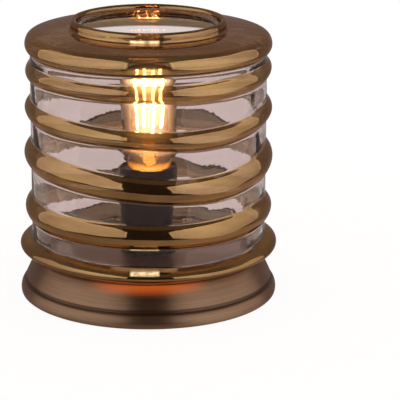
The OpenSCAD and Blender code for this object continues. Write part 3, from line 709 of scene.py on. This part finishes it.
@dataclass
class Shade:
    """The blown shade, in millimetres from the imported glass."""

    wall_r: float = 91.8
    wall_t: float = 3.2
    foot_r: float = 87.0
    foot_h: float = 2.5
    flange: Ring = Ring(
        16.0, 9.5, (0.0, 0.0, 0.6, 1.0, 0.6, 0.0, 0.0, 0.0, 0.0, 0.0, 0.6, 1.2, 0.6, 0.0, 0.0, 0.0),
        (3.0, 7.0, 3.0, 2.0, 1.6, 1.5, 2.7, 3.1, 3.9, 3.9, 2.2, -0.8, 1.5, 6.0, 2.0, 0.4))
    bands: tuple[float, ...] = (12.5, 20.6, 18.5, 18.5, 3.3)
    rings: tuple[Ring, ...] = (
        Ring(19.9, 5.0, (8.0, 9.5, 5.5, 0.5, 1.7, 1.6, 1.6, 1.5, 2.1, 2.6, 1.3, 1.6, 7.0, 0.0, -3.0, -2.0),
             (8.0, 9.5, 5.5, 0.5, 1.9, 1.6, 1.9, 2.8, 3.1, 1.6, -0.6, 0.5, 8.0, -1.0, -4.0, -3.0)),
        Ring(21.9, 5.3, (-1.5, 8.0, 4.0, -1.4, 0, 1.7, 4.5, 6.6, 9.4, 9.1, 5.3, 4.0, 7.0, -2.0, -1.8, -1.6),
             (-2.0, 8.0, 4.0, -1.4, 1.4, 2.1, 5.9, 9.4, 10.7, 9.1, 5.5, -1.4, 8.0, -2.8, -2.4, -2.0)),
        Ring(15.4, 4.5, (0.9, 1.4, 0.8, 0, 3.1, 3.7, 4.0, 5.9, 8.2, 7.5, 3.9, 0, 0.8, 0.3, 0.4, 0.4),
             (0.9, 1.4, 0.9, 0.4, 2.0, 2.5, 5.6, 7.5, 7.8, 6.5, 3.5, 0, 0.8, 0.3, 0.4, 0.4)),
        Ring(12.8, 3.8, (2.7, 2.7, 4.5, 6.3, 3.7, 3.4, 4.3, 4.1, 6.3, 5.0, 4.3, 1.6, 2.2, 2.7, 2.7, 2.7),
             (2.7, 2.7, 3.5, 4.3, 3.9, 3.5, 4.1, 3.5, 3.6, 2.0, 2.0, 1.6, 2.2, 2.7, 2.7, 2.7)),
    )
    shoulder_sag: tuple[float, ...] = (
        -1.0, -1.0, -1.2, -1.6, 0.7, 0.5, 0.3, 0.2, 0.2, -0.4, 0.2, -1.6, -1.2, -1.0, -1.0, -1.0)
    rim_sag: tuple[float, ...] = (0.0,) * 16
    shoulder_out: float = 4.0
    shoulder_low: float = 5.4
    shoulder_bends: tuple[tuple[float, float, float], ...] = ((-75, 0, 5.6), (0, 32, 13.0), (32, 60, 5.0), (60, 80, 11.5))
    neck_z: float = 211.8
    neck_r: float = 60.6
    rim_t: float = 5.5
    segments: int = 208
    spacing: float = 1.0

    def __post_init__(self) -> None:
        """Stacks the heights from the foot up."""
        low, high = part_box("glass_shade")
        self.foot_z = low.z / MM
        self.rim_z = high.z / MM
        self.flange_z = self.foot_z + self.foot_h
        z = self.flange_z + self.flange.height
        self.ring_z: list[float] = []
        for band, ring in zip(self.bands, self.rings):
            z += band
            self.ring_z.append(z)
            z += ring.height
        self.shoulder_z = z + self.bands[-1]
        self.edge_z = self.shoulder_z + self.shoulder_low

    def swell(self, radius: float, low: float, height: float, out: float, steps: int) -> list[Point]:
        """Points along one ring, from its lower to its upper edge."""
        return [(radius + out * math.sin(math.pi * i / steps) ** 0.8, low + height * i / steps)
                for i in range(steps + 1)]

    def shoulder(self, inset: float) -> list[Point]:
        """Points from the shoulder's lower edge over its round corner and up its slope to the neck."""
        edge_r = self.wall_r + self.shoulder_out
        points: list[Point] = []
        centre = (edge_r - self.shoulder_bends[0][2], self.edge_z)
        for start, end, bend in self.shoulder_bends:
            reach = bend - inset
            if points:
                lean = math.radians(start)
                centre = (points[-1][0] - reach * math.cos(lean), points[-1][1] - reach * math.sin(lean))
            points += arc(centre, (reach, reach), start, end, 10)[1 if points else 0:]
        (r, z), end_r = points[-1], self.neck_r - (self.rim_t if inset > 0 else 0.0)
        rise = math.tan(math.radians(90 - self.shoulder_bends[-1][1]))
        run, climb = r - end_r, self.neck_z - inset - z
        bow = (climb - rise * run) / run ** 2
        return points + [(r - run * t, z + rise * run * t + bow * (run * t) ** 2) for t in np.linspace(0, 1, 25)]

    def side(self, inset: float) -> list[Point]:
        """Points up one side of the wall.

        Args:
            inset: 0 outside, and the wall's thickness inside.

        Returns:
            The points from the flange to the neck.
        """
        radius, trim = self.wall_r - inset, inset * 0.4
        points = self.swell(radius, self.flange_z + inset, self.flange.height - 2 * trim - inset / 2,
                            self.flange.out, 24)
        for z, ring in zip(self.ring_z, self.rings):
            points += self.swell(radius, z + trim, ring.height - 2 * trim, ring.out, 24)
        return points + self.shoulder(inset)

    def outer(self) -> list[Point]:
        """Points up the outside, from the foot to the neck."""
        return [(self.foot_r, self.foot_z), (self.foot_r, self.flange_z), *self.side(0.0)]

    def outline(self) -> list[Point]:
        """The whole wall's outline, with its corners rounded as fire-polished glass."""
        rim = arc((self.neck_r - self.rim_t / 2, self.rim_z - self.rim_t / 2),
                  (self.rim_t / 2, self.rim_t / 2), 0, 180, 16)
        foot_in = self.foot_r - self.wall_t
        inner = [*reversed(self.side(self.wall_t)), (foot_in, self.flange_z + self.wall_t), (foot_in, self.foot_z)]
        return [*eased([*self.outer(), rim[0]], self.spacing, 2)[:-1], *eased(rim, self.spacing, 1),
                *eased([rim[-1], *inner], self.spacing, 3)[1:]]

    def lustre_at(self, height: np.ndarray, radius: np.ndarray) -> np.ndarray:
        """How far inside a lustred zone of the outer surface each point is.

        Args:
            height: Heights in millimetres, before the glass was pushed about.
            radius: Distances from the axis.

        Returns:
            Millimetres inside the nearest zone, and below 0 outside it and on the inner surface.
        """
        zones = [(self.foot_z - 5, self.flange_z + self.flange.height),
                 *((z, z + ring.height) for z, ring in zip(self.ring_z, self.rings)),
                 (self.shoulder_z, self.rim_z + 5)]
        depth = np.full(height.shape, -9.0)
        for low, high in zones:
            depth = np.maximum(depth, np.minimum(height - low, high - height))
        outer_r, outer_z = np.array([*self.outer(), (self.neck_r, self.rim_z)]).T
        inside = radius < np.interp(height, outer_z, outer_r) - self.wall_t / 2
        inside &= height < self.rim_z - self.rim_t / 2
        return np.where(inside, -3.0, np.clip(depth, -3.0, 3.0))

    def sag_at(self, turn: np.ndarray, height: np.ndarray) -> np.ndarray:
        """How far the soft glass has sunk at each point.

        Args:
            turn: Degrees round the lamp.
            height: Heights in millimetres.

        Returns:
            Millimetres.
        """
        level = (0.0,) * len(STATIONS)
        marks = [(self.foot_z, level), (self.flange_z, self.flange.low_sag),
                 (self.flange_z + self.flange.height, self.flange.high_sag)]
        for z, ring in zip(self.ring_z, self.rings):
            marks += [(z, ring.low_sag), (z + ring.height, ring.high_sag)]
        marks += [(self.shoulder_z, self.shoulder_sag), (self.neck_z, self.rim_sag), (self.rim_z, self.rim_sag)]
        grid = np.arange(-180, 180, 4)
        ease = np.exp(-(np.arange(-6, 7) / 3.0) ** 2)
        rows = []
        for _, sags in marks:
            line = np.interp(grid, STATIONS, sags, period=360)
            rows.append(sum(w * np.roll(line, k) for k, w in zip(range(-6, 7), ease / ease.sum())))
        table = np.array(rows)
        column = (turn + 180) / 4
        left = np.floor(column).astype(int)
        share = column - left
        around = table[:, left % 90] * (1 - share) + table[:, (left + 1) % 90] * share
        place = np.interp(height, [z for z, _ in marks], np.arange(len(marks)))
        below = np.minimum(np.floor(place).astype(int), len(marks) - 2)
        index = np.arange(height.size)
        return around[below, index] * (1 + below - place) + around[below + 1, index] * (place - below)

    def pushed(self, places: np.ndarray) -> np.ndarray:
        """Pushes the turned glass out of true, as blown glass is.

        Args:
            places: Points in metres.

        Returns:
            Their new places.
        """
        x, y, z = places.T / MM
        radius = np.hypot(x, y)
        azimuth = np.arctan2(x, -y)
        fade = np.clip((z - self.flange_z) / 15, 0, 1) * np.clip((self.rim_z - 12 - z) / 15, 0, 1)
        inside = radius < self.wall_r - self.wall_t / 2 + 0.2
        wave = 0.30 * np.sin(9 * azimuth + 0.9 * np.sin(z / 11)) + 0.22 * np.sin(17 * azimuth + z / 19 + 1.3)
        share = 1 + np.where(inside, wave, 0.25 * wave) * fade / np.maximum(radius, 1e-6)
        return np.column_stack([x * share, y * share, z - self.sag_at(np.degrees(azimuth), z)]) * MM

    def build(self) -> None:
        """Models the glass and lays its finish."""
        piece = turned("blown_shade", self.outline(), self.segments)
        co = np.empty(len(piece.data.vertices) * 3, np.float32)
        piece.data.vertices.foreach_get("co", co)
        x, y, z = co.reshape(-1, 3).T.astype(float) / MM
        depth = self.lustre_at(z, np.hypot(x, y))
        lustre = piece.data.attributes.new("lustre", "FLOAT", "POINT")
        lustre.data.foreach_set("value", depth.astype(np.float32))
        reshaped(piece, self.pushed)
        piece.data.materials.clear()
        piece.data.materials.append(LustreGlass().make())
        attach(piece, Body.SHADE.value)
        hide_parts("glass_shade")
        log.info("shade: %d faces", len(piece.data.polygons))


@dataclass
class Bulb:
    """The tubular filament bulb, in millimetres from its packed glass."""

    bulb_r: float = 22.5
    neck_r: float = 12.8
    wall: float = 0.9
    bowl_h: float = 20.6
    bowl_bend: float = 1.6
    bowl_share: float = 0.85

    def glass_side(self, inset: float) -> list[Point]:
        """Points up one side of the glass, to the axis."""
        low, high = (corner.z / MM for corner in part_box("bulb_glass"))
        dome_z = high - self.bulb_r
        bowl = (self.bulb_r - self.neck_r) * self.bowl_share
        points = [(self.neck_r - inset, low)]
        points += [(self.bulb_r - inset - bowl * (1 - t) ** self.bowl_bend, low + 0.4 + self.bowl_h * t)
                   for t in np.linspace(0, 1, 25)]
        reach = self.bulb_r - inset
        return points + [(max(0.0, reach * math.cos(a)), dome_z + reach * math.sin(a))
                         for a in np.radians(np.linspace(0, 90, 25))]

    def build(self) -> None:
        """Models the glass and dresses what is in it."""
        outline = [*self.glass_side(0.0), *reversed(self.glass_side(self.wall))]
        piece = turned("bulb_envelope", outline, 96)
        piece.data.materials.clear()
        piece.data.materials.append(AmberGlass().make())
        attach(piece, Body.BULB.value)
        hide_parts("bulb_glass")
        dress("bulb_stem", StemGlass().make())
        dress("bulb_filaments", LitFilament().make())
        for node, slot in (("bulb_cap", "cap_metal"), ("bulb_insulator", "insulator_glass"),
                           ("bulb_contact", "contact_tin"), ("bulb_driver", "driver_board"),
                           ("filament_supports", "support_wire")):
            dress(node, FINISHES[slot].make())
        log.info("bulb: glass, four filaments, stem, supports and cap")


def dress(node: str, material: bpy.types.Material) -> None:
    """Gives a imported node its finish.

    Args:
        node: The node's name.
        material: The finish.
    """
    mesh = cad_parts[node].data
    mesh.materials.clear()
    mesh.materials.append(material)


@dataclass
class Base:
    """The spun base with its foot, weight and cord bush, in millimetres."""

    lip_r: float = 93.2
    sheet_t: float = 1.2
    bead_centre: Point = (95.4, 4.6)
    bead_half: Point = (5.6, 7.6)
    bead_top: float = 72.0
    foot_edge: tuple[Point, ...] = ((98.3, 0.6), (99.5, 0.75), (100.3, 1.4))
    groove: tuple[Point, ...] = ((96.5, 12.1), (96.4, 12.9), (96.5, 13.7), (97.1, 14.2))
    seat: tuple[Point, ...] = ((89.4, 31.0), (88.5, 31.5))
    step_r: float = 82.3
    top_z: float = 34.0
    rod_hole_r: float = 5.2
    cord_hole_r: float = 4.2
    cord_z: float = 6.6
    segments: int = 240

    def sheet(self, inset: float) -> list[Point]:
        """Points along one face of the spun sheet.

        Args:
            inset: 0 outside, and the sheet's thickness inside.

        Returns:
            The points from the rolled lip to the rod's hole.
        """
        half = (self.bead_half[0] - inset, self.bead_half[1] - inset)
        points = [(self.lip_r, 0.6 + inset), *((r - inset, z + inset) for r, z in self.foot_edge)]
        points += arc(self.bead_centre, half, -18, self.bead_top, 20)
        points += [(r - inset, z) for r, z in self.groove]
        points += [(r - inset, z - inset / 2) for r, z in self.seat]
        seat_z = self.seat[-1][1]
        return points + [(self.step_r - inset, seat_z - inset), (self.step_r - inset, self.top_z - 0.4 - inset),
                         (self.step_r - 0.4 - inset, self.top_z - inset), (self.rod_hole_r, self.top_z - inset)]

    def shell(self) -> None:
        """Spins the shell and drills the hole for the cord's bush."""
        piece = turned("spun_shell", [*self.sheet(0.0), *reversed(self.sheet(self.sheet_t))], self.segments)
        deselect_all()
        bpy.ops.mesh.primitive_cylinder_add(vertices=48, radius=self.cord_hole_r * MM, depth=20 * MM,
                                            location=(0, 97 * MM, self.cord_z * MM), rotation=(math.pi / 2, 0, 0))
        drill = bpy.context.object
        bpy.context.view_layer.objects.active = piece
        cut = piece.modifiers.new("cord_hole", "BOOLEAN")
        cut.operation, cut.object, cut.solver = "DIFFERENCE", drill, "EXACT"
        bpy.ops.object.modifier_apply(modifier=cut.name)
        bpy.data.objects.remove(drill, do_unlink=True)
        piece.data.materials.clear()
        piece.data.materials.append(SpunBronze().make())
        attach(piece, Body.BASE.value)
        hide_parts("base_shell")

    def build(self) -> None:
        """Makes the shell and dresses the base's other pieces."""
        self.shell()
        for node, slot in (("cord_bush", "bush_rubber"), ("felt_pad", "felt"), ("bottom_plate", "plate_steel"),
                           ("plate_screws", "screw_steel"), ("ballast_weight", "weight_iron"),
                           ("spacer_tube", "tube_steel"), ("threaded_rod", "fixing_brass"),
                           ("clamp_nuts", "fixing_brass"), ("rod_washer", "screw_steel"),
                           ("earth_tag", "contact_brass")):
            dress(node, FINISHES[slot].make())
        log.info("base: shell, bush, felt, plate, weight and fixings")


@dataclass
class Lampholder:
    """The holder in its sleeve, in millimetres."""

    sleeve_r: float = 21.25
    sleeve_t: float = 1.0
    sleeve_edge: float = 0.4
    sleeve_top: float = 102.4
    sleeve_low: float = 34.0
    rod_hole_r: float = 5.2

    def sleeve(self) -> None:
        """Turns the plain tube round the holder."""
        radius, low, top, edge = self.sleeve_r, self.sleeve_low, self.sleeve_top, self.sleeve_edge
        outline = [(self.rod_hole_r, low), (radius - edge, low), (radius, low + edge), (radius, top - edge),
                   (radius - edge, top), (radius - self.sleeve_t, top), (radius - self.sleeve_t, low + 1.0),
                   (self.rod_hole_r, low + 1.0)]
        piece = turned("sleeve_tube", outline, 128)
        piece.data.materials.clear()
        piece.data.materials.append(FINISHES["sleeve_bronze"].make())
        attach(piece, Body.BASE.value)
        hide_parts("holder_sleeve")

    def build(self) -> None:
        """Turns the sleeve and dresses the holder's other pieces."""
        self.sleeve()
        for node, slot in (("holder_cap", "holder_plastic"),
                           ("holder_core", "core_ceramic"), ("holder_skirt", "holder_plastic"),
                           ("screw_shell", "contact_brass"), ("centre_contact", "contact_brass"),
                           ("holder_terminals", "contact_brass"), ("terminal_screws", "screw_steel")):
            dress(node, FINISHES[slot].make())
        log.info("lampholder: sleeve, cap, core, skirt and contacts")


@dataclass
class Wiring:
    """The wires and the block that join the lead to the holder."""

    def build(self) -> None:
        """Dresses the wiring."""
        for node, slot in (("terminal_block", "block_plastic"), ("block_terminals", "contact_brass"),
                           ("block_screws", "screw_steel"), ("earth_wire", "wire_earth"),
                           ("live_wire", "wire_live"), ("neutral_wire", "wire_neutral")):
            dress(node, FINISHES[slot].make())
        log.info("wiring: block, terminals and three wires")


@dataclass
class Studio:
    """Camera, floor and the room with its two softboxes. Angles are in degrees, from the front to the right."""

    camera_place: tuple[float, float, float] = (-0.0010, -1.6, 0.538719)
    camera_target: tuple[float, float, float] = (0.040581, 0.0, 0.073406)
    camera_roll: float = 0.3723
    lens: float = 189.991
    box_level: float = 1.02
    box_rim: float = 0.9
    box_end: float = 122.0
    box_slope: float = 0.0035
    box_share: tuple[Point, ...] = (
        (-180, 0.6), (-122, 0.6), (-108, 0.72), (-98, 0.84), (-86, 0.96), (-60, 1.04), (-34, 1.0), (-23, 0.86),
        (25, 0.86), (34, 0.98), (48, 1.1), (62, 1.08), (76, 0.96), (90, 0.84), (104, 0.76), (122, 0.6), (180, 0.6))
    box_low: tuple[Point, ...] = (
        (-180, -16), (-104, -16), (-90, -21), (-78, -18), (-64, -13), (-42, -12), (-20, -4), (20, -4), (30, -10),
        (42, -23), (54, -32), (78, -35), (90, -30), (102, -18), (126, -12), (180, -12))
    box_high: tuple[Point, ...] = (
        (-180, 40), (-104, 42), (-90, 45), (-74, 50), (-60, 53), (-42, 52), (-30, 46), (-20, 38), (20, 40), (30, 45),
        (44, 49), (56, 49), (68, 46), (80, 42), (92, 38), (104, 38), (140, 36), (180, 36))
    box_middle: float = 1.5
    box_gap: float = 20.0
    wall_level: tuple[Point, ...] = (
        (-180, 0.25), (-116, 0.24), (-100, 0.20), (-30, 0.06), (-16, 0.04), (16, 0.04), (30, 0.06), (100, 0.20),
        (120, 0.24), (180, 0.25))
    wall_tint: Colour = (1.0, 0.80, 0.72)
    box_tint: Colour = (1.0, 0.95, 0.93)
    floor_level: tuple[Point, ...] = (
        (-180, 0.38), (-90, 0.38), (-50, 0.37), (-20, 0.42), (0, 0.5), (22, 0.42), (48, 0.45), (66, 0.54), (96, 0.52),
        (124, 0.47), (180, 0.42))
    ceiling_level: float = 0.15
    floor_reach: float = 0.42

    def camera(self) -> None:
        """Places the camera at the photograph's viewpoint."""
        data = bpy.data.cameras.new("camera")
        data.lens = self.lens
        data.sensor_width = 36.0
        data.clip_end = 50.0
        camera = bpy.data.objects.new("camera", data)
        bpy.context.scene.collection.objects.link(camera)
        away = Vector(self.camera_target) - Vector(self.camera_place)
        turn = away.to_track_quat("-Z", "Y").to_matrix() @ Matrix.Rotation(math.radians(self.camera_roll), 3, "Z")
        camera.matrix_world = Matrix.Translation(self.camera_place) @ turn.to_4x4()
        bpy.context.scene.camera = camera

    def room(self) -> None:
        """Makes the room white to the camera, plain to matt pieces, and two softboxes in a dim room to gloss."""
        world = bpy.data.worlds.new("room")
        bpy.context.scene.world = world
        world.use_nodes = True
        r = Recipe.of_tree(world.node_tree, "ShaderNodeOutputWorld")
        split = r.add("SeparateXYZ")
        r.feed(split.inputs[0], r.add("TexCoord").outputs["Generated"])
        x, y, z = split.outputs
        turn = r.math("DEGREES", r.math("ARCTAN2", x, r.math("MULTIPLY", y, -1.0)))
        rise = r.math("DEGREES", r.math("ARCSINE", z))
        low = r.curve(turn, -180, 180, self.box_low)
        high = r.curve(turn, -180, 180, self.box_high)
        beside = r.math("SUBTRACT", r.math("ABSOLUTE", r.math("SUBTRACT", turn, self.box_middle)), self.box_gap)
        behind = r.math("SUBTRACT", self.box_end, r.math("ABSOLUTE", turn))
        inside = r.math("MINIMUM", r.math("MINIMUM", beside, behind),
                        r.math("MINIMUM", r.math("SUBTRACT", rise, low), r.math("SUBTRACT", high, rise)))
        face = r.ranged(inside, 0.0, 2.0, 0.0, 1.0, smooth=True)
        rim = r.math("MULTIPLY", face, r.ranged(inside, 1.0, 3.5, self.box_rim, 0.0, smooth=True))
        box = r.math("ADD", r.math("ADD", self.box_level, rim), r.math("MULTIPLY", rise, self.box_slope))
        wall = r.curve(turn, -180, 180, self.wall_level)
        above = r.ranged(rise, 48.0, 56.0, 0.0, 1.0, smooth=True)
        below = r.ranged(rise, -27.0, -21.0, 1.0, 0.0, smooth=True)
        rest = r.math("ADD", r.math("MULTIPLY", wall, r.math("SUBTRACT", 1.0, above)),
                      r.math("MULTIPLY", above, self.ceiling_level))
        rest = r.math("ADD", r.math("MULTIPLY", rest, r.math("SUBTRACT", 1.0, below)),
                      r.math("MULTIPLY", below, r.curve(turn, -180, 180, self.floor_level)))
        share = r.math("MULTIPLY", face, r.curve(turn, -180, 180, self.box_share))
        level = r.math("ADD", rest, r.math("MULTIPLY", share, r.math("SUBTRACT", box, rest)))
        path = r.add("LightPath")
        bounces = r.math("ADD", path.outputs["Glossy Depth"], path.outputs["Diffuse Depth"])
        through = r.math("MULTIPLY", path.outputs["Is Transmission Ray"], r.math("LESS_THAN", bounces, 1.5))
        seen = r.math("MAXIMUM", path.outputs["Is Camera Ray"], through)
        white = r.add("Background")
        white.inputs["Color"].default_value = (1.0, 1.0, 1.0, 1.0)
        white.inputs["Strength"].default_value = 1.0
        lit = r.add("Background")
        r.feed(lit.inputs["Color"], r.blend(share, self.wall_tint, self.box_tint))
        plain = path.outputs["Is Diffuse Ray"]
        r.feed(lit.inputs["Strength"], r.math("ADD", plain, r.math("MULTIPLY", level, r.math("SUBTRACT", 1.0, plain))))
        mix = r.add("MixShader")
        r.feed(mix.inputs[0], seen)
        r.feed(mix.inputs[1], lit.outputs[0])
        r.feed(mix.inputs[2], white.outputs[0])
        r.tree.links.new(mix.outputs[0], r.output.inputs["Surface"])

    def floor(self) -> None:
        """Lays a pale floor that shows white, with the lamp's soft shadow."""
        deselect_all()
        bpy.ops.mesh.primitive_circle_add(vertices=96, radius=self.floor_reach, fill_type="NGON")
        floor = bpy.context.object
        floor.name = "floor"
        r = Recipe("pale_floor")
        path = r.add("LightPath")
        bounces = r.math("ADD", path.outputs["Glossy Depth"], path.outputs["Diffuse Depth"])
        through = r.math("MULTIPLY", path.outputs["Is Transmission Ray"], r.math("LESS_THAN", bounces, 1.5))
        seen = r.math("MAXIMUM", path.outputs["Is Camera Ray"], through)
        matt = r.add("BsdfDiffuse")
        matt.inputs["Color"].default_value = (0.62, 0.61, 0.6, 1.0)
        white = r.add("Emission")
        white.inputs["Color"].default_value = (1.0, 1.0, 1.0, 1.0)
        white.inputs["Strength"].default_value = 1.08
        mix = r.add("MixShader")
        r.feed(mix.inputs[0], r.math("MULTIPLY", seen, 0.86))
        r.feed(mix.inputs[1], matt.outputs[0])
        r.feed(mix.inputs[2], white.outputs[0])
        clear = r.add("MixShader")
        r.feed(clear.inputs[0], path.outputs["Is Glossy Ray"])
        r.feed(clear.inputs[1], mix.outputs[0])
        r.feed(clear.inputs[2], r.add("BsdfTransparent").outputs[0])
        floor.data.materials.append(r.done(clear.outputs[0]))

    def build(self) -> None:
        """Sets up the whole studio."""
        self.camera()
        self.room()
        self.floor()
        bpy.context.scene.view_settings.view_transform = "Standard"
        log.info("studio: camera, floor and room with two softboxes")


def main() -> None:
    """Builds the studio and the lamp, sub-assembly by sub-assembly."""
    logging.basicConfig(level=logging.INFO, format="%(name)s: %(message)s")
    for part in (Studio(), Base(), Lampholder(), Wiring(), Bulb(), Shade()):
        part.build()


if __name__ == "__main__":
    main()
